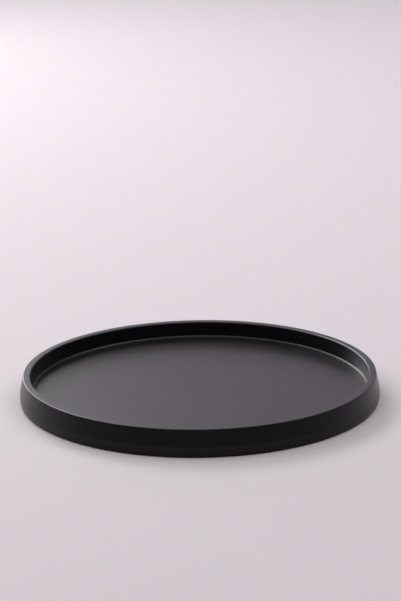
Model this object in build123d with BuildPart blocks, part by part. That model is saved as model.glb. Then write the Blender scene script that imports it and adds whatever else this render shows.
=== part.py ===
from build123d import *
import os
from math import asin, cos, degrees, radians, sin, tan

# Round serving tray: a turned hoop with a base panel let into it from below, a filler bead that
# fills a groove round the inside corner and coves it, and four screwed rubber feet. Hoop, panel
# and bead are lacquered satin black as one.
# The frame is the tray as it stands: +Z up, the origin on the table under its centre. All in mm.

# ---- Driving dimensions: the tray as a whole ----
TRAY_DIAMETER = 350.0       # at the widest, round the swell of the hoop
HOOP_HEIGHT = 26.1          # the hoop's bottom face to the flat of the rim
FOOT_STAND = 0.4            # how far the feet hold the hoop off the table
RIM_WIDTH = 7.2             # flat top of the hoop, before its edges are eased
DISH_DEPTH = 15.6           # rim down to the serving face

# ---- Hoop ----
SWELL_HEIGHT = 6.6          # the hoop's bottom face to its widest
SWELL_RADIUS = 21.0
OUTER_LEAN = 11.2           # degrees the outside leans in towards the rim, above the swell
INNER_DRAFT = 3.6           # degrees the inside opens towards the rim
BOTTOM_EDGE_EASE = 0.8
RIM_OUTER_EASE = 0.9
RIM_INNER_EASE = 1.5
RABBET_RADIUS = 167.5
RABBET_EDGE_EASE = 0.3

# ---- Base panel, and the groove round it that the corner bead fills ----
PANEL_THICKNESS = 5.0
BEAD_LEG = 2.0              # how far the cove reaches over the floor and up the wall
GROOVE_IN_PANEL = 0.6
GROOVE_IN_HOOP = 0.5

# ---- Panel pins: headed brads, driven up through the panel into the hoop ----
PIN_COUNT = 12
PIN_CIRCLE_RADIUS = 165.8
PIN_RADIUS = 0.6
PIN_LENGTH = 15.0
PIN_POINT_LENGTH = 1.4
PIN_TIP_RADIUS = 0.1
PIN_HEAD_RADIUS = 1.0
PIN_HEAD_THICKNESS = 0.5

# ---- Rubber feet, each with its washer and its screw ----
FOOT_CIRCLE_RADIUS = 150.0
FOOT_TOP_RADIUS = 8.0
FOOT_BOTTOM_RADIUS = 7.0
FOOT_EDGE_ROUND = 0.8
FOOT_WEB = 2.2              # rubber left between the washer and the panel
FOOT_HOLE_RADIUS = 1.7
FOOT_RECESS_RADIUS = 4.4
WASHER_RADIUS = 4.0
WASHER_HOLE_RADIUS = 1.6
WASHER_THICKNESS = 0.8
WASHER_EDGE_EASE = 0.15
SCREW_RADIUS = 1.5
SCREW_BITE = 3.8            # length of screw in the panel
SCREW_POINT_LENGTH = 1.8
SCREW_TIP_RADIUS = 0.2
SCREW_HEAD_RADIUS = 2.9
SCREW_HEAD_HEIGHT = 2.0
SCREW_HEAD_DOME = 1.1
DRIVE_ARM_LENGTH = 3.4
DRIVE_ARM_WIDTH = 0.8
DRIVE_DEPTH = 1.2
PILOT_DEPTH = 4.0

# ---- Levels and radii worked out from them ----
hoop_bottom = FOOT_STAND
rim_level = hoop_bottom + HOOP_HEIGHT
serving_level = rim_level - DISH_DEPTH
panel_underside = serving_level - PANEL_THICKNESS

lean, draft = radians(OUTER_LEAN), radians(INNER_DRAFT)
# The outside is an arc round the swell, up to where it leans as far as the straight does.
swell_centre_radius = TRAY_DIAMETER / 2 - SWELL_RADIUS
swell_centre_level = hoop_bottom + SWELL_HEIGHT
swell_dip = degrees(asin(SWELL_HEIGHT / SWELL_RADIUS))
swell_top_radius = swell_centre_radius + SWELL_RADIUS * cos(lean)
swell_top_level = swell_centre_level + SWELL_RADIUS * sin(lean)
rim_outer_radius = swell_top_radius - (rim_level - swell_top_level) * tan(lean)
rim_inner_radius = rim_outer_radius - RIM_WIDTH
dish_floor_radius = rim_inner_radius - DISH_DEPTH * tan(draft)

# The cove touches the serving face and the wall at the ends of its two equal legs.
serving_face_radius = dish_floor_radius - BEAD_LEG
cove_top_radius = dish_floor_radius + BEAD_LEG * sin(draft)
cove_top_level = serving_level + BEAD_LEG * cos(draft)
groove_radius = cove_top_radius + GROOVE_IN_HOOP
ledge_level = serving_level - GROOVE_IN_PANEL

washer_top = panel_underside - FOOT_WEB
washer_bottom = washer_top - WASHER_THICKNESS
screw_head_bottom = washer_bottom - SCREW_HEAD_HEIGHT
screw_tip = panel_underside + SCREW_BITE
pin_tip = panel_underside + PIN_LENGTH

# The feet stand on the four axes of the tray.
FOOT_ANGLES = {"foot_right": 0, "foot_back": 90, "foot_left": 180, "foot_front": 270}


def finish(builder, label):
    """Name a finished piece and write it to its STEP file."""
    builder.part.label = label
    export_step(builder.part, f"parts/{label}.step")


os.makedirs("parts", exist_ok=True)

# ---- Rim hoop: one turned ring, rabbeted from below for the panel ----
with BuildPart() as rim_ring:
    with BuildSketch(Plane.XZ) as hoop_section:
        with BuildLine():
            swell_centre = (swell_centre_radius, swell_centre_level)
            swell = CenterArc(swell_centre, SWELL_RADIUS, -swell_dip, swell_dip + OUTER_LEAN)
            Polyline(
                swell @ 1,
                (rim_outer_radius, rim_level),
                (rim_inner_radius, rim_level),
                (cove_top_radius, cove_top_level),
                (groove_radius, cove_top_level),
                (groove_radius, ledge_level),
                (RABBET_RADIUS, ledge_level),
                (RABBET_RADIUS, hoop_bottom),
                swell @ 0,
            )
        make_face()
        rabbet_corner = hoop_section.vertices().group_by(Axis.Y)[0].sort_by(Axis.X)[0]
        chamfer(rabbet_corner, length=RABBET_EDGE_EASE)
        bottom_edge_corner = hoop_section.vertices().group_by(Axis.Y)[0].sort_by(Axis.X)[-1]
        fillet(bottom_edge_corner, radius=BOTTOM_EDGE_EASE)
        rim_outer_corner = hoop_section.vertices().group_by(Axis.Y)[-1].sort_by(Axis.X)[-1]
        fillet(rim_outer_corner, radius=RIM_OUTER_EASE)
        rim_inner_corner = hoop_section.vertices().group_by(Axis.Y)[-1].sort_by(Axis.X)[0]
        fillet(rim_inner_corner, radius=RIM_INNER_EASE)
    revolve(axis=Axis.Z)
    with BuildSketch(Plane.XY.offset(ledge_level)):
        with PolarLocations(PIN_CIRCLE_RADIUS, PIN_COUNT, start_angle=180 / PIN_COUNT):
            Circle(PIN_RADIUS)
    extrude(amount=pin_tip - ledge_level, mode=Mode.SUBTRACT)
finish(rim_ring, "rim_ring")

# ---- Base panel: a stepped disc glued and pinned into the rabbet ----
with BuildPart() as base_panel:
    with BuildSketch(Plane.XY.offset(panel_underside)):
        Circle(RABBET_RADIUS)
    extrude(amount=PANEL_THICKNESS - GROOVE_IN_PANEL)
    with BuildSketch(Plane.XY.offset(ledge_level)):
        Circle(serving_face_radius)
    extrude(amount=GROOVE_IN_PANEL)
    underside = Plane((0, 0, panel_underside), x_dir=(1, 0, 0), z_dir=(0, 0, -1))
    with Locations(underside):
        with PolarLocations(PIN_CIRCLE_RADIUS, PIN_COUNT, start_angle=180 / PIN_COUNT):
            CounterBoreHole(PIN_RADIUS, PIN_HEAD_RADIUS, PIN_HEAD_THICKNESS)
        with PolarLocations(FOOT_CIRCLE_RADIUS, len(FOOT_ANGLES)):
            Hole(SCREW_RADIUS, depth=PILOT_DEPTH)
finish(base_panel, "base_panel")

# ---- Corner bead: filler pressed into the groove, its face hollowed to a cove ----
with BuildPart() as corner_bead:
    with BuildSketch(Plane.XZ):
        with BuildLine():
            cove_foot = (serving_face_radius, serving_level)
            cove_top = (cove_top_radius, cove_top_level)
            TangentArc(cove_foot, cove_top, tangent=(1, 0))
            Polyline(
                cove_top,
                (groove_radius, cove_top_level),
                (groove_radius, ledge_level),
                (serving_face_radius, ledge_level),
                cove_foot,
            )
        make_face()
    revolve(axis=Axis.Z)
finish(corner_bead, "corner_bead")

# ---- Panel pins: one brad on the tray's axis, then the ring of them ----
with BuildPart() as brad:
    with BuildSketch(Plane.XZ):
        with BuildLine():
            Polyline(
                (0, panel_underside),
                (PIN_HEAD_RADIUS, panel_underside),
                (PIN_HEAD_RADIUS, panel_underside + PIN_HEAD_THICKNESS),
                (PIN_RADIUS, panel_underside + PIN_HEAD_THICKNESS),
                (PIN_RADIUS, pin_tip - PIN_POINT_LENGTH),
                (PIN_TIP_RADIUS, pin_tip),
                (0, pin_tip),
                close=True,
            )
        make_face()
    revolve(axis=Axis.Z)

with BuildPart() as panel_pins:
    with PolarLocations(PIN_CIRCLE_RADIUS, PIN_COUNT, start_angle=180 / PIN_COUNT):
        add(brad.part)
finish(panel_pins, "panel_pins")

# ---- Rubber feet: one foot on the tray's axis, then a copy for each side ----
with BuildPart() as foot_blank:
    with BuildSketch(Plane.XZ) as foot_section:
        with BuildLine():
            Polyline(
                (FOOT_HOLE_RADIUS, washer_top),
                (FOOT_RECESS_RADIUS, washer_top),
                (FOOT_RECESS_RADIUS, 0),
                (FOOT_BOTTOM_RADIUS, 0),
                (FOOT_TOP_RADIUS, panel_underside),
                (FOOT_HOLE_RADIUS, panel_underside),
                close=True,
            )
        make_face()
        tread_corner = foot_section.vertices().group_by(Axis.Y)[0].sort_by(Axis.X)[-1]
        fillet(tread_corner, radius=FOOT_EDGE_ROUND)
    revolve(axis=Axis.Z)

for foot_name, angle in FOOT_ANGLES.items():
    with BuildPart() as foot:
        with PolarLocations(FOOT_CIRCLE_RADIUS, 1, start_angle=angle):
            add(foot_blank.part)
    finish(foot, foot_name)

# ---- Washers: they spread the screws' load on the rubber ----
with BuildPart() as washer:
    with BuildSketch(Plane.XY.offset(washer_bottom)):
        Circle(WASHER_RADIUS)
        Circle(WASHER_HOLE_RADIUS, mode=Mode.SUBTRACT)
    extrude(amount=WASHER_THICKNESS)
    chamfer(washer.edges().group_by(Axis.Z)[0], length=WASHER_EDGE_EASE)

with BuildPart() as foot_washers:
    with PolarLocations(FOOT_CIRCLE_RADIUS, len(FOOT_ANGLES)):
        add(washer.part)
finish(foot_washers, "foot_washers")

# ---- Screws: pan heads with a cross recess, heads down ----
with BuildPart() as screw:
    with BuildSketch(Plane.XZ) as screw_section:
        with BuildLine():
            Polyline(
                (0, screw_head_bottom),
                (SCREW_HEAD_RADIUS, screw_head_bottom),
                (SCREW_HEAD_RADIUS, washer_bottom),
                (SCREW_RADIUS, washer_bottom),
                (SCREW_RADIUS, screw_tip - SCREW_POINT_LENGTH),
                (SCREW_TIP_RADIUS, screw_tip),
                (0, screw_tip),
                close=True,
            )
        make_face()
        dome_corner = screw_section.vertices().group_by(Axis.Y)[0].sort_by(Axis.X)[-1]
        fillet(dome_corner, radius=SCREW_HEAD_DOME)
    revolve(axis=Axis.Z)
    with BuildSketch(Plane.XY.offset(screw_head_bottom)):
        Rectangle(DRIVE_ARM_LENGTH, DRIVE_ARM_WIDTH)
        Rectangle(DRIVE_ARM_WIDTH, DRIVE_ARM_LENGTH)
    extrude(amount=DRIVE_DEPTH, mode=Mode.SUBTRACT)

with BuildPart() as foot_screws:
    with PolarLocations(FOOT_CIRCLE_RADIUS, len(FOOT_ANGLES)):
        add(screw.part)
finish(foot_screws, "foot_screws")
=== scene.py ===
"""Round serving tray in satin black lacquer: its looks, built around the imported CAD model.

The tray is a turned fibreboard hoop with a base panel let in from below, a corner bead coved round
the serving face, brads through the panel, and four rubber feet held by screws and washers. Lengths
are in metres, in the CAD's own frame: +Z up, the origin on the table under the tray's centre.
"""

import logging
import math
from dataclasses import dataclass
from enum import Enum

import bmesh
import bpy
from mathutils import Matrix, Quaternion, Vector


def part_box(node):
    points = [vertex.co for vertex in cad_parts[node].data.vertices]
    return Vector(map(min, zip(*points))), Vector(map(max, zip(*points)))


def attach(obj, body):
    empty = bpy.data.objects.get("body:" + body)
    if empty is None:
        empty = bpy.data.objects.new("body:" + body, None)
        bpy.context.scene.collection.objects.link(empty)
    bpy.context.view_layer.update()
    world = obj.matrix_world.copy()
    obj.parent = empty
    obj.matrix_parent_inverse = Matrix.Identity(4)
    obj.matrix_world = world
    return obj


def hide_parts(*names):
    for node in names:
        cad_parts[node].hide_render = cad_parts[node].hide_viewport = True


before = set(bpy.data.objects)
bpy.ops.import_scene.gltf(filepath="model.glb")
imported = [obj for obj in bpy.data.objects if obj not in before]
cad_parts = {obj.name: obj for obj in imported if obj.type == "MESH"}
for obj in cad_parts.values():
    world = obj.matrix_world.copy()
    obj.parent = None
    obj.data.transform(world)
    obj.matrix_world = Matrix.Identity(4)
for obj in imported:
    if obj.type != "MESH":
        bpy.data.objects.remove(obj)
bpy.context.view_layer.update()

logging.basicConfig(level=logging.INFO, format="%(levelname)s %(message)s")
log = logging.getLogger("serving_tray")

MM = 0.001
FULL_TURN = 2 * math.pi
BODY = "root"
SAME_PLACE = 2e-6          # two corners closer than this are one place
RIGHT_ANGLE = math.pi / 2
ARRIS = math.radians(35)   # a corner sharper than this is shaded as an edge
NOISE_LOW, NOISE_HIGH = 0.3, 0.7           # a noise texture's value seldom leaves this span
COLOUR_A, COLOUR_B, COLOUR_OUT = 6, 7, 2   # a Mix node's colour sockets, by number


class Slot(Enum):
    """The record's material slots for the tray's finishes; no piece here is given one."""

    LACQUER = "black_lacquer"
    RUBBER = "black_rubber"
    STEEL = "zinc_steel"


# ---------------------------------------------------------------------------------------------
# Colour and node helpers
# ---------------------------------------------------------------------------------------------


def linear(hex_colour: str) -> tuple[float, float, float, float]:
    """Turn an sRGB hex colour to linear light.

    Args:
        hex_colour: Six hex digits after a hash sign.

    Returns:
        Red, green, blue and an alpha of one.
    """
    channels = [int(hex_colour[i:i + 2], 16) / 255 for i in (1, 3, 5)]
    light = [c / 12.92 if c <= 0.04045 else ((c + 0.055) / 1.055) ** 2.4 for c in channels]
    return (*light, 1.0)


def add_node(
    tree: bpy.types.NodeTree,
    kind: str,
    values: dict[str | int, object] | None = None,
    links: dict[str | int, bpy.types.NodeSocket] | None = None,
    **settings: object,
) -> bpy.types.Node:
    """Add one node with its settings, socket values and incoming links.

    Args:
        tree: The node tree it goes into.
        kind: The node's type name.
        values: Socket values by socket name or number.
        links: Sources by the name or number of the socket they feed.
        settings: The node's own properties.

    Returns:
        The new node.
    """
    node = tree.nodes.new(kind)
    for name, value in settings.items():
        setattr(node, name, value)
    for socket, value in (values or {}).items():
        node.inputs[socket].default_value = value
    for socket, source in (links or {}).items():
        tree.links.new(source, node.inputs[socket])
    return node


def new_tree(material: bpy.types.Material) -> tuple[bpy.types.NodeTree, bpy.types.Node, bpy.types.Node]:
    """Empty a material's node tree and give it a shader on its output.

    Args:
        material: The material to start.

    Returns:
        The tree, its Principled shader and its object coordinates node.
    """
    material.use_nodes = True
    tree = material.node_tree
    tree.nodes.clear()
    shader = add_node(tree, "ShaderNodeBsdfPrincipled")
    add_node(tree, "ShaderNodeOutputMaterial", links={"Surface": shader.outputs["BSDF"]})
    return tree, shader, add_node(tree, "ShaderNodeTexCoord")


# ---------------------------------------------------------------------------------------------
# Finishes
# ---------------------------------------------------------------------------------------------


@dataclass(frozen=True)
class SatinBlackLacquer:
    """Black polyurethane lacquer, sprayed on sealed fibreboard and left as it flowed out.

    It gives a deep black under a soft, even sheen: a dielectric film with a matting agent in it.
    The film hides the board. What is left to see is a faint orange peel and a sheen that drifts
    a little from place to place with the thickness of the film.
    """

    colour: str = "#0c0c0e"
    thick_colour: str = "#0f0e11"
    ior: float = 1.3
    sheen_low: float = 0.278
    sheen_high: float = 0.312
    peel_spacing: float = 2.4 * MM
    peel_height: float = 0.004 * MM
    drift_spacing: float = 70 * MM

    def build(self) -> bpy.types.Material:
        """Make the lacquer.

        Returns:
            The finish, ready to put on a piece.
        """
        material = bpy.data.materials.new("satin_black_lacquer")
        tree, shader, place = new_tree(material)
        drift = add_node(
            tree, "ShaderNodeTexNoise",
            {"Scale": 1 / self.drift_spacing, "Detail": 3.0, "Roughness": 0.55},
            {"Vector": place.outputs["Object"]},
        )
        sheen = add_node(
            tree, "ShaderNodeMapRange",
            {
                "From Min": NOISE_LOW,
                "From Max": NOISE_HIGH,
                "To Min": self.sheen_low,
                "To Max": self.sheen_high,
            },
            {"Value": drift.outputs["Fac"]},
        )
        film = add_node(
            tree, "ShaderNodeMix",
            {COLOUR_A: linear(self.colour), COLOUR_B: linear(self.thick_colour)},
            {"Factor": drift.outputs["Fac"]},
            data_type="RGBA",
        )
        peel = add_node(
            tree, "ShaderNodeTexNoise",
            {"Scale": 1 / self.peel_spacing, "Detail": 1.0, "Roughness": 0.4},
            {"Vector": place.outputs["Object"]},
        )
        bump = add_node(
            tree, "ShaderNodeBump",
            {"Strength": 1.0, "Distance": self.peel_height},
            {"Height": peel.outputs["Fac"]},
        )
        shader.inputs["IOR"].default_value = self.ior
        tree.links.new(film.outputs[COLOUR_OUT], shader.inputs["Base Color"])
        tree.links.new(sheen.outputs["Result"], shader.inputs["Roughness"])
        tree.links.new(bump.outputs["Normal"], shader.inputs["Normal"])
        return material


@dataclass(frozen=True)
class MouldedRubber:
    """Black EPDM rubber, compression moulded in a blasted tool: dull, with a fine even grain."""

    colour: str = "#1b1b1c"
    ior: float = 1.52
    roughness: float = 0.72
    grain: float = 0.35 * MM
    grain_height: float = 0.012 * MM

    def build(self) -> bpy.types.Material:
        """Make the rubber.

        Returns:
            The finish, ready to put on a piece.
        """
        material = bpy.data.materials.new("moulded_epdm_rubber")
        tree, shader, place = new_tree(material)
        grain = add_node(
            tree, "ShaderNodeTexNoise",
            {"Scale": 1 / self.grain, "Detail": 2.0},
            {"Vector": place.outputs["Object"]},
        )
        bump = add_node(
            tree, "ShaderNodeBump",
            {"Strength": 1.0, "Distance": self.grain_height},
            {"Height": grain.outputs["Fac"]},
        )
        shader.inputs["Base Color"].default_value = linear(self.colour)
        shader.inputs["IOR"].default_value = self.ior
        shader.inputs["Roughness"].default_value = self.roughness
        tree.links.new(bump.outputs["Normal"], shader.inputs["Normal"])
        return material


@dataclass(frozen=True)
class ZincPlatedSteel:
    """Cold headed steel with bright zinc plating: a soft grey metal, clouded where the zinc took."""

    colour: str = "#b4b8bd"
    cloud_colour: str = "#9da2a8"
    roughness_low: float = 0.28
    roughness_high: float = 0.42
    cloud: float = 1.6 * MM

    def build(self) -> bpy.types.Material:
        """Make the plated steel.

        Returns:
            The finish, ready to put on a piece.
        """
        material = bpy.data.materials.new("zinc_plated_steel")
        tree, shader, place = new_tree(material)
        cloud = add_node(
            tree, "ShaderNodeTexNoise",
            {"Scale": 1 / self.cloud, "Detail": 3.0},
            {"Vector": place.outputs["Object"]},
        )
        tint = add_node(
            tree, "ShaderNodeMix",
            {COLOUR_A: linear(self.colour), COLOUR_B: linear(self.cloud_colour)},
            {"Factor": cloud.outputs["Fac"]},
            data_type="RGBA",
        )
        roughness = add_node(
            tree, "ShaderNodeMapRange",
            {
                "From Min": NOISE_LOW,
                "From Max": NOISE_HIGH,
                "To Min": self.roughness_low,
                "To Max": self.roughness_high,
            },
            {"Value": cloud.outputs["Fac"]},
        )
        shader.inputs["Metallic"].default_value = 1.0
        tree.links.new(tint.outputs[COLOUR_OUT], shader.inputs["Base Color"])
        tree.links.new(roughness.outputs["Result"], shader.inputs["Roughness"])
        return material


# ---------------------------------------------------------------------------------------------
# Turning: a round piece drawn out ring by ring in edit mode
# ---------------------------------------------------------------------------------------------


class Turning:
    """A round piece, started as one ring of corners and drawn out to its outline ring by ring."""

    def __init__(self, name: str, steps: int, radius: float, level: float) -> None:
        """Start the piece.

        Args:
            name: The piece's name.
            steps: Corners in each ring.
            radius: The first ring's radius.
            level: The first ring's height.
        """
        bpy.ops.object.select_all(action="DESELECT")
        bpy.ops.mesh.primitive_circle_add(
            vertices=steps, radius=radius, fill_type="NOTHING", location=(0, 0, level)
        )
        self.piece = bpy.context.object
        self.piece.name = name
        self.piece.data.name = name
        bpy.ops.object.transform_apply(location=True, rotation=True, scale=True)
        bpy.ops.object.mode_set(mode="EDIT")
        bpy.ops.mesh.select_mode(type="EDGE")
        bpy.ops.mesh.select_all(action="SELECT")
        self.first = self.last = (radius, level)

    def draw_to(self, radius: float, level: float) -> None:
        """Extrude the last ring to a new place.

        Args:
            radius: The new ring's radius.
            level: The new ring's height.
        """
        bpy.ops.mesh.extrude_region_move(
            TRANSFORM_OT_translate={"value": (0, 0, level - self.last[1])}
        )
        ratio = radius / self.last[0]
        bpy.ops.transform.resize(value=(ratio, ratio, 1), center_override=(0, 0, level))
        self.last = (radius, level)

    def draw_through(self, *outline: tuple[float, float]) -> None:
        """Extrude the last ring through several places in turn, each a radius and a height."""
        for radius, level in outline:
            self.draw_to(radius, level)

    def cap(self) -> None:
        """Close the last ring with a flat face."""
        bpy.ops.mesh.edge_face_add()

    def close(self) -> None:
        """Bridge the last ring back to the first, which makes the outline a closed loop."""
        self.select_rings(self.first, self.last)
        bpy.ops.mesh.bridge_edge_loops()

    def select_rings(self, *rings: tuple[float, float]) -> None:
        """Select only the edges that lie along certain rings.

        Args:
            rings: The rings, each a radius and a height.
        """
        bpy.ops.mesh.select_all(action="DESELECT")
        shape = bmesh.from_edit_mesh(self.piece.data)
        for edge in shape.edges:
            edge.select = any(
                all(
                    abs(math.hypot(v.co.x, v.co.y) - radius) < SAME_PLACE
                    and abs(v.co.z - level) < SAME_PLACE
                    for v in edge.verts
                )
                for radius, level in rings
            )
        bmesh.update_edit_mesh(self.piece.data)

    def round_ring(self, ring: tuple[float, float], reach: float, segments: int) -> None:
        """Round the edge along a ring.

        Args:
            ring: The edge's radius and height.
            reach: How far the rounding reaches from the edge over each face.
            segments: Facets across the rounding.
        """
        self.select_rings(ring)
        bpy.ops.mesh.bevel(offset=reach, segments=segments, profile=0.5, affect="EDGES")

    def finish(self) -> bpy.types.Object:
        """Leave edit mode with the faces pointing out and the flats shaded flat.

        Returns:
            The finished piece.
        """
        bpy.ops.mesh.select_all(action="SELECT")
        bpy.ops.mesh.remove_doubles(threshold=SAME_PLACE)
        bpy.ops.mesh.normals_make_consistent(inside=False)
        bpy.ops.object.mode_set(mode="OBJECT")
        shade(self.piece)
        return self.piece


def shade(piece: bpy.types.Object) -> None:
    """Shade a piece smooth over its roundings and flat over its flats.

    Args:
        piece: The piece, with its last edit applied.
    """
    bpy.ops.object.select_all(action="DESELECT")
    piece.select_set(True)
    bpy.context.view_layer.objects.active = piece
    bpy.ops.object.shade_smooth_by_angle(angle=ARRIS)
    bpy.ops.object.modifier_add(type="WEIGHTED_NORMAL")
    piece.modifiers[-1].keep_sharp = True
    bpy.ops.object.modifier_apply(modifier=piece.modifiers[-1].name)


def round_reach(radius: float, corner: float) -> float:
    """How far from a corner an arc touches its two sides.

    Args:
        radius: The arc's radius.
        corner: The angle between the two sides, in radians.

    Returns:
        The distance from the corner to where the arc starts.
    """
    return radius / math.tan(corner / 2)


def copy_to(piece: bpy.types.Object, name: str, angle: float, radius: float) -> bpy.types.Object:
    """Copy a piece that stands on the tray's axis to its place on a circle round it.

    Args:
        piece: The piece to copy.
        name: The copy's name.
        angle: Where on the circle it goes, in radians from +X.
        radius: The circle's radius.

    Returns:
        The copy, with its own mesh in its place.
    """
    copy = piece.copy()
    copy.data = piece.data.copy()
    copy.name = copy.data.name = name
    copy.data.transform(Matrix.Rotation(angle, 4, "Z") @ Matrix.Translation((radius, 0, 0)))
    bpy.context.scene.collection.objects.link(copy)
    return copy


def fit_out(piece: bpy.types.Object, material: bpy.types.Material, node: str) -> None:
    """Give a new piece its finish and its place in the model.

    Args:
        piece: The finished piece.
        material: Its finish.
        node: The CAD node it stands for.
    """
    piece.data.materials.clear()
    piece.data.materials.append(material)
    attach(piece, BODY)
    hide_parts(node)
    log.info("%s stands for %s: %d faces", piece.name, node, len(piece.data.polygons))


# ---------------------------------------------------------------------------------------------
# The tray's body
# ---------------------------------------------------------------------------------------------


@dataclass
class TrayBody:
    """The hoop, the panel and the bead, lacquered together."""

    lacquer: bpy.types.Material
    swell_height: float = 6.6 * MM
    swell_radius: float = 21.0 * MM
    outer_lean: float = math.radians(11.2)
    inner_draft: float = math.radians(3.6)
    rim_width: float = 7.2 * MM
    bottom_edge_ease: float = 0.8 * MM
    rim_outer_ease: float = 0.9 * MM
    rim_inner_ease: float = 1.5 * MM
    rabbet_ease: float = 0.3 * MM
    bead_leg: float = 2.0 * MM
    groove_in_hoop: float = 0.5 * MM
    steps: int = 360
    swell_facets: int = 20
    cove_facets: int = 14
    rim_facets: int = 6
    bottom_facets: int = 5
    rabbet_facets: int = 2

    def __post_init__(self) -> None:
        """Read the levels and radii that the CAD gives, and work out the others."""
        hoop_low, hoop_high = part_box("rim_ring")
        panel_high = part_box("base_panel")[1]
        bead_low, bead_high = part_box("corner_bead")
        self.hoop_bottom, self.rim_level = hoop_low.z, hoop_high.z
        self.rabbet_radius, self.serving_level = panel_high.x, panel_high.z
        self.ledge_level, self.cove_top_level, self.groove_radius = bead_low.z, bead_high.z, bead_high.x
        self.cove_top_radius = self.groove_radius - self.groove_in_hoop
        self.floor_radius = self.cove_top_radius - self.bead_leg * math.sin(self.inner_draft)
        depth = self.rim_level - self.serving_level
        self.rim_inner = self.floor_radius + depth * math.tan(self.inner_draft)
        self.rim_outer = self.rim_inner + self.rim_width
        swell_level = self.hoop_bottom + self.swell_height
        rise = (self.rim_level - swell_level) * math.sin(self.outer_lean)
        self.swell_centre = (
            self.rim_outer - (self.swell_radius - rise) / math.cos(self.outer_lean),
            swell_level,
        )

    def on_swell(self, angle: float) -> tuple[float, float]:
        """Give the radius and height of the point on the swell that leans in by an angle."""
        radius, level = self.swell_centre
        return radius + self.swell_radius * math.cos(angle), level + self.swell_radius * math.sin(angle)

    def hoop(self) -> bpy.types.Object:
        """Turn the hoop: a swelling outside, a flat rim, a drafted inside and a rabbet from below.

        Returns:
            The hoop.
        """
        turning = Turning("rim_hoop", self.steps, self.rabbet_radius, self.hoop_bottom)
        dip = math.asin(self.swell_height / self.swell_radius)
        facet = (dip + self.outer_lean) / self.swell_facets
        swell = [self.on_swell(facet * number - dip) for number in range(self.swell_facets + 1)]
        bottom_edge, rabbet = swell[0], turning.first
        rim_out, rim_in = (self.rim_outer, self.rim_level), (self.rim_inner, self.rim_level)
        turning.draw_through(
            *swell,
            rim_out,
            rim_in,
            (self.cove_top_radius, self.cove_top_level),
            (self.groove_radius, self.cove_top_level),
            (self.groove_radius, self.ledge_level),
            (self.rabbet_radius, self.ledge_level),
        )
        turning.close()
        bottom_reach = round_reach(self.bottom_edge_ease, RIGHT_ANGLE + dip)
        turning.round_ring(bottom_edge, bottom_reach, self.bottom_facets)
        outer_reach = round_reach(self.rim_outer_ease, RIGHT_ANGLE + self.outer_lean)
        turning.round_ring(rim_out, outer_reach, self.rim_facets)
        inner_reach = round_reach(self.rim_inner_ease, RIGHT_ANGLE + self.inner_draft)
        turning.round_ring(rim_in, inner_reach, self.rim_facets)
        turning.round_ring(rabbet, self.rabbet_ease, self.rabbet_facets)
        return turning.finish()

    def bead(self) -> bpy.types.Object:
        """Draw the filler bead: a hollow cove on a square key that fills the groove.

        Returns:
            The bead.
        """
        face_radius = self.floor_radius - self.bead_leg
        cove_sweep = RIGHT_ANGLE - self.inner_draft
        cove_radius = self.bead_leg / math.tan(cove_sweep / 2)
        turning = Turning("cove_bead", self.steps, face_radius, self.serving_level)
        for facet in range(1, self.cove_facets + 1):
            turned = cove_sweep * facet / self.cove_facets
            turning.draw_to(
                face_radius + cove_radius * math.sin(turned),
                self.serving_level + cove_radius * (1 - math.cos(turned)),
            )
        turning.draw_through(
            (self.groove_radius, self.cove_top_level),
            (self.groove_radius, self.ledge_level),
            (face_radius, self.ledge_level),
        )
        turning.close()
        return turning.finish()

    def build(self) -> None:
        """Make the hoop and the bead, and lacquer them with the panel."""
        fit_out(self.hoop(), self.lacquer, "rim_ring")
        fit_out(self.bead(), self.lacquer, "corner_bead")
        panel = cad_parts["base_panel"]
        panel.data.materials.clear()
        panel.data.materials.append(self.lacquer)
        log.info("base_panel keeps its CAD shape")


# ---------------------------------------------------------------------------------------------
# Panel pins
# ---------------------------------------------------------------------------------------------


@dataclass
class PanelPins:
    """The brads that hold the panel in the hoop's rabbet."""

    steel: bpy.types.Material
    count: int = 12
    circle: float = 165.8 * MM
    radius: float = 0.6 * MM
    head_radius: float = 1.0 * MM
    head_thickness: float = 0.5 * MM
    head_ease: float = 0.12 * MM
    point_length: float = 1.4 * MM
    tip_radius: float = 0.1 * MM
    steps: int = 32
    head_facets: int = 3

    def brad(self) -> bpy.types.Object:
        """Turn one brad: a flat eased head, a drawn shank and a cut point.

        Returns:
            The brad, standing on the tray's axis.
        """
        low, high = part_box("panel_pins")
        turning = Turning("brad", self.steps, self.head_radius, low.z)
        head_edge = turning.first
        neck = low.z + self.head_thickness
        turning.cap()
        turning.select_rings(head_edge)
        turning.draw_through(
            (self.head_radius, neck),
            (self.radius, neck),
            (self.radius, high.z - self.point_length),
            (self.tip_radius, high.z),
        )
        turning.cap()
        turning.round_ring(head_edge, self.head_ease, self.head_facets)
        return turning.finish()

    def build(self) -> None:
        """Set the brads evenly round their circle, the first half a step on from +X."""
        brad = self.brad()
        for number in range(self.count):
            angle = FULL_TURN * (number + 0.5) / self.count
            pin = copy_to(brad, f"panel_pin_{number + 1}", angle, self.circle)
            fit_out(pin, self.steel, "panel_pins")
        bpy.data.objects.remove(brad)


# ---------------------------------------------------------------------------------------------
# Feet, with their washers and screws
# ---------------------------------------------------------------------------------------------


class Side(Enum):
    """The tray's sides, each with the angle from +X at which its foot stands."""

    RIGHT = 0
    BACK = 90
    LEFT = 180
    FRONT = 270

    @property
    def node(self) -> str:
        """The CAD node of the foot on this side."""
        return f"foot_{self.name.lower()}"

    @property
    def angle(self) -> float:
        """The side's angle in radians."""
        return math.radians(self.value)


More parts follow.
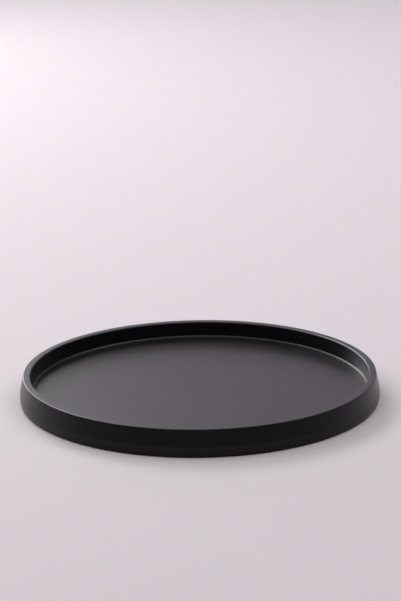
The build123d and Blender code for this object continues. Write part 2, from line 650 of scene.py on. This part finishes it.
@dataclass
class ScrewedFeet:
    """Four moulded rubber feet, each clamped to the panel by a washer and a pan head screw."""

    rubber: bpy.types.Material
    steel: bpy.types.Material
    circle: float = 150 * MM
    top_radius: float = 8.0 * MM
    bottom_radius: float = 7.0 * MM
    hole_radius: float = 1.7 * MM
    recess_radius: float = 4.4 * MM
    tread_round: float = 0.8 * MM
    recess_ease: float = 0.3 * MM
    washer_radius: float = 4.0 * MM
    washer_hole: float = 1.6 * MM
    washer_ease: float = 0.15 * MM
    head_radius: float = 2.9 * MM
    head_height: float = 2.0 * MM
    head_dome: float = 1.1 * MM
    thread_radius: float = 1.5 * MM
    core_radius: float = 1.05 * MM
    thread_pitch: float = 1.2 * MM
    thread_shares: tuple[float, float, float] = (0.3, 0.6, 0.7)    # of a pitch: land, flank, crest
    point_length: float = 1.8 * MM
    tip_radius: float = 0.2 * MM
    drive_length: float = 3.4 * MM
    drive_width: float = 0.8 * MM
    drive_depth: float = 1.2 * MM
    drive_taper: float = 0.7
    steps: int = 64
    tread_facets: int = 6
    dome_facets: int = 8
    ease_facets: int = 3
    hole_facets: int = 2

    def foot(self) -> bpy.types.Object:
        """Turn a foot: tapered outside, recess from below, hole through, tread edges rounded.

        Returns:
            The foot, standing on the tray's axis.
        """
        low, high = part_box("foot_right")
        washer_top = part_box("foot_washers")[1].z
        turning = Turning("rubber_foot", self.steps, self.hole_radius, washer_top)
        tread_in, tread_out = (self.recess_radius, low.z), (self.bottom_radius, low.z)
        turning.draw_through(
            (self.recess_radius, washer_top),
            tread_in,
            tread_out,
            (self.top_radius, high.z),
            (self.hole_radius, high.z),
        )
        turning.close()
        taper = math.atan2(self.top_radius - self.bottom_radius, high.z - low.z)
        tread_reach = round_reach(self.tread_round, RIGHT_ANGLE + taper)
        turning.round_ring(tread_out, tread_reach, self.tread_facets)
        turning.round_ring(tread_in, self.recess_ease, self.ease_facets)
        return turning.finish()

    def washer(self) -> bpy.types.Object:
        """Turn a washer with its lower edges eased by the punch.

        Returns:
            The washer, standing on the tray's axis.
        """
        low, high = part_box("foot_washers")
        turning = Turning("washer", self.steps, self.washer_hole, low.z)
        rim_edge, hole_edge = (self.washer_radius, low.z), turning.first
        turning.draw_through(rim_edge, (self.washer_radius, high.z), (self.washer_hole, high.z))
        turning.close()
        turning.round_ring(rim_edge, self.washer_ease, self.ease_facets)
        turning.round_ring(hole_edge, self.washer_ease, self.hole_facets)
        return turning.finish()

    def screw(self) -> bpy.types.Object:
        """Turn a screw: pan head, ringed thread for a helix too fine to tell apart, and a point.

        Returns:
            The screw, standing on the tray's axis with its head down.
        """
        low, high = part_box("foot_screws")
        turning = Turning("pan_head_screw", self.steps, self.head_radius, low.z)
        dome_edge = turning.first
        turning.cap()
        turning.select_rings(dome_edge)
        neck = low.z + self.head_height
        thread_end = high.z - self.point_length
        turning.draw_through((self.head_radius, neck), (self.core_radius, neck))
        land, rise, crest = (share * self.thread_pitch for share in self.thread_shares)
        for turn in range(int((thread_end - neck) / self.thread_pitch)):
            root = neck + turn * self.thread_pitch
            turning.draw_through(
                (self.core_radius, root + land),
                (self.thread_radius, root + rise),
                (self.thread_radius, root + crest),
                (self.core_radius, root + self.thread_pitch),
            )
        turning.draw_through((self.core_radius, thread_end), (self.tip_radius, high.z))
        turning.cap()
        turning.round_ring(dome_edge, self.head_dome, self.dome_facets)
        screw = turning.finish()
        for length, width in (
            (self.drive_length, self.drive_width),
            (self.drive_width, self.drive_length),
        ):
            self.cut_slot(screw, length, width, low.z)
        shade(screw)
        return screw

    def cut_slot(self, screw: bpy.types.Object, length: float, width: float, level: float) -> None:
        """Cut one arm of the cross recess into a screw's head.

        Args:
            screw: The screw, standing on the tray's axis.
            length: The arm's size along X.
            width: The arm's size along Y.
            level: The height of the head's outer face.
        """
        bpy.ops.object.select_all(action="DESELECT")
        bpy.ops.mesh.primitive_cube_add(size=1, location=(0, 0, level))
        punch = bpy.context.object
        punch.scale = (length, width, 2 * self.drive_depth)
        bpy.ops.object.transform_apply(location=True, rotation=True, scale=True)
        bpy.ops.object.mode_set(mode="EDIT")
        bpy.ops.mesh.select_mode(type="FACE")
        bpy.ops.mesh.select_all(action="DESELECT")
        shape = bmesh.from_edit_mesh(punch.data)
        for face in shape.faces:
            face.select = face.normal.z > 0
        bmesh.update_edit_mesh(punch.data)
        bpy.ops.transform.resize(
            value=(self.drive_taper, self.drive_taper, 1), center_override=(0, 0, level)
        )
        bpy.ops.object.mode_set(mode="OBJECT")
        cut = screw.modifiers.new("cross_recess", "BOOLEAN")
        cut.operation, cut.object = "DIFFERENCE", punch
        bpy.context.view_layer.objects.active = screw
        bpy.ops.object.modifier_apply(modifier=cut.name)
        bpy.data.objects.remove(punch)

    def build(self) -> None:
        """Fit a foot, a washer and a screw on each side."""
        foot, washer, screw = self.foot(), self.washer(), self.screw()
        for side in Side:
            for blank, name, material, slot, node in (
                (foot, "rubber_foot", self.rubber, Slot.RUBBER, side.node),
                (washer, "washer", self.steel, Slot.STEEL, "foot_washers"),
                (screw, "screw", self.steel, Slot.STEEL, "foot_screws"),
            ):
                piece = copy_to(blank, f"{name}_{side.name.lower()}", side.angle, self.circle)
                fit_out(piece, material, node)
        for blank in (foot, washer, screw):
            bpy.data.objects.remove(blank)


# ---------------------------------------------------------------------------------------------
# Set: table, light and camera
# ---------------------------------------------------------------------------------------------


@dataclass(frozen=True)
class Table:
    """A matt painted table top, pale and faintly lilac, that runs out past the light."""

    colour: str = "#9a9598"
    radius: float = 9.0
    roughness: float = 0.85
    steps: int = 128

    def build(self) -> None:
        """Lay the table top under the feet."""
        bpy.ops.object.select_all(action="DESELECT")
        bpy.ops.mesh.primitive_circle_add(vertices=self.steps, radius=self.radius, fill_type="NGON")
        top = bpy.context.object
        top.name = "table_top"
        material = bpy.data.materials.new("matt_painted_board")
        shader = new_tree(material)[1]
        shader.inputs["Base Color"].default_value = linear(self.colour)
        shader.inputs["Roughness"].default_value = self.roughness
        top.data.materials.append(material)


@dataclass(frozen=True)
class Softbox:
    """A rectangular studio light, aimed at the tray: angles in degrees, sizes in metres, power in watts."""

    name: str
    azimuth: float
    elevation: float
    distance: float
    width: float
    height: float
    power: float
    colour: str = "#ffffff"

    def build(self) -> None:
        """Hang the light."""
        light = bpy.data.lights.new(self.name, "AREA")
        light.shape = "RECTANGLE"
        light.size, light.size_y = self.width, self.height
        light.energy = self.power
        light.color = linear(self.colour)[:3]
        lamp = bpy.data.objects.new(self.name, light)
        turn, rise = math.radians(self.azimuth), math.radians(self.elevation)
        towards = Vector((math.cos(turn) * math.cos(rise), math.sin(turn) * math.cos(rise), math.sin(rise)))
        lamp.location = towards * self.distance
        lamp.rotation_mode = "QUATERNION"
        lamp.rotation_quaternion = (-towards).to_track_quat("-Z", "Y")
        bpy.context.scene.collection.objects.link(lamp)


SOFTBOXES = (
    Softbox("key_softbox", azimuth=112, elevation=36, distance=3.1, width=1.2, height=0.88, power=45),
    Softbox("low_softbox", azimuth=122, elevation=9, distance=2.4, width=1.0, height=0.4, power=12),
    Softbox("window_softbox", azimuth=125, elevation=24, distance=2.5, width=1.6, height=1.2, power=11),
    Softbox("side_softbox", azimuth=162, elevation=41, distance=2.3, width=1.6, height=0.8, power=22),
    Softbox("fill_softbox", azimuth=15, elevation=52, distance=2.3, width=1.6, height=1.2, power=12),
)


@dataclass(frozen=True)
class StudioAir:
    """The room's light: a pale wall behind, a dim room in front, a ceiling brightest over the camera."""

    back: str = "#fdf0ff"
    front: str = "#37353a"
    ceiling: str = "#fffcff"
    ceiling_back_gain: float = 1.4
    ceiling_front_gain: float = 2.6
    left_gain: float = 1.0
    right_gain: float = 0.5
    wall_turn: tuple[float, float] = (0.1, 0.95)        # along +Y, from the front wall to the back
    side_turn: tuple[float, float] = (-0.5, 0.6)        # along +X, from left to right
    ceiling_edge: tuple[float, float] = (0.45, 0.9)     # along +Z, from the walls to the ceiling
    ceiling_turn: tuple[float, float] = (0.5, -0.5)     # along Y, from the back to over the camera

    def build(self) -> None:
        """Paint the room on the world."""
        world = bpy.data.worlds.new("studio_air")
        bpy.context.scene.world = world
        world.use_nodes = True
        tree = world.node_tree
        tree.nodes.clear()
        place = add_node(tree, "ShaderNodeTexCoord")
        axes = add_node(tree, "ShaderNodeSeparateXYZ", links={0: place.outputs["Generated"]})
        turns = {}
        for name, axis, (start, end), low, high in (
            ("behind", "Y", self.wall_turn, 0.0, 1.0),
            ("side", "X", self.side_turn, self.left_gain, self.right_gain),
            ("above", "Z", self.ceiling_edge, 0.0, 1.0),
            ("overhead", "Y", self.ceiling_turn, self.ceiling_back_gain, self.ceiling_front_gain),
        ):
            ramp = add_node(
                tree, "ShaderNodeMapRange",
                {"From Min": start, "From Max": end, "To Min": low, "To Max": high},
                {"Value": axes.outputs[axis]},
                interpolation_type="SMOOTHSTEP",
            )
            turns[name] = ramp.outputs["Result"]
        walls = add_node(
            tree, "ShaderNodeMix",
            {COLOUR_A: linear(self.front), COLOUR_B: linear(self.back)},
            {"Factor": turns["behind"]},
            data_type="RGBA",
        )
        lit_walls = add_node(
            tree, "ShaderNodeVectorMath",
            links={0: walls.outputs[COLOUR_OUT], "Scale": turns["side"]},
            operation="SCALE",
        )
        ceiling = add_node(
            tree, "ShaderNodeVectorMath",
            {0: linear(self.ceiling)[:3]}, {"Scale": turns["overhead"]},
            operation="SCALE",
        )
        room = add_node(
            tree, "ShaderNodeMix",
            links={
                "Factor": turns["above"],
                COLOUR_A: lit_walls.outputs["Vector"],
                COLOUR_B: ceiling.outputs["Vector"],
            },
            data_type="RGBA",
        )
        background = add_node(tree, "ShaderNodeBackground", links={"Color": room.outputs[COLOUR_OUT]})
        add_node(tree, "ShaderNodeOutputWorld", links={"Surface": background.outputs["Background"]})


@dataclass(frozen=True)
class StudioCamera:
    """A long lens looking down on the tray from in front."""

    distance: float = 2.275
    elevation: float = math.radians(18.64)
    lens: float = 139.46
    roll: float = math.radians(-0.775)
    tilt: float = math.radians(2.362)
    pan: float = math.radians(-0.016)

    def build(self) -> None:
        """Set up the camera, aimed over the tray so that it stands low in the frame."""
        back, up = -math.cos(self.elevation), math.sin(self.elevation)
        view = bpy.data.cameras.new("studio_camera")
        view.lens = self.lens
        camera = bpy.data.objects.new("studio_camera", view)
        camera.location = self.distance * Vector((0, back, up))
        aim = (-camera.location).to_track_quat("-Z", "Y")
        camera.rotation_mode = "QUATERNION"
        camera.rotation_quaternion = (
            aim
            @ Quaternion((0, 0, 1), self.roll)
            @ Quaternion((1, 0, 0), self.tilt)
            @ Quaternion((0, 1, 0), self.pan)
        )
        bpy.context.scene.collection.objects.link(camera)
        bpy.context.scene.camera = camera


def main() -> None:
    """Build the tray, then the set around it."""
    bpy.context.scene.view_settings.view_transform = "Standard"
    lacquer = SatinBlackLacquer().build()
    rubber = MouldedRubber().build()
    steel = ZincPlatedSteel().build()
    TrayBody(lacquer).build()
    PanelPins(steel).build()
    ScrewedFeet(rubber, steel).build()
    Table().build()
    StudioAir().build()
    for softbox in SOFTBOXES:
        softbox.build()
    StudioCamera().build()


if __name__ == "__main__":
    main()
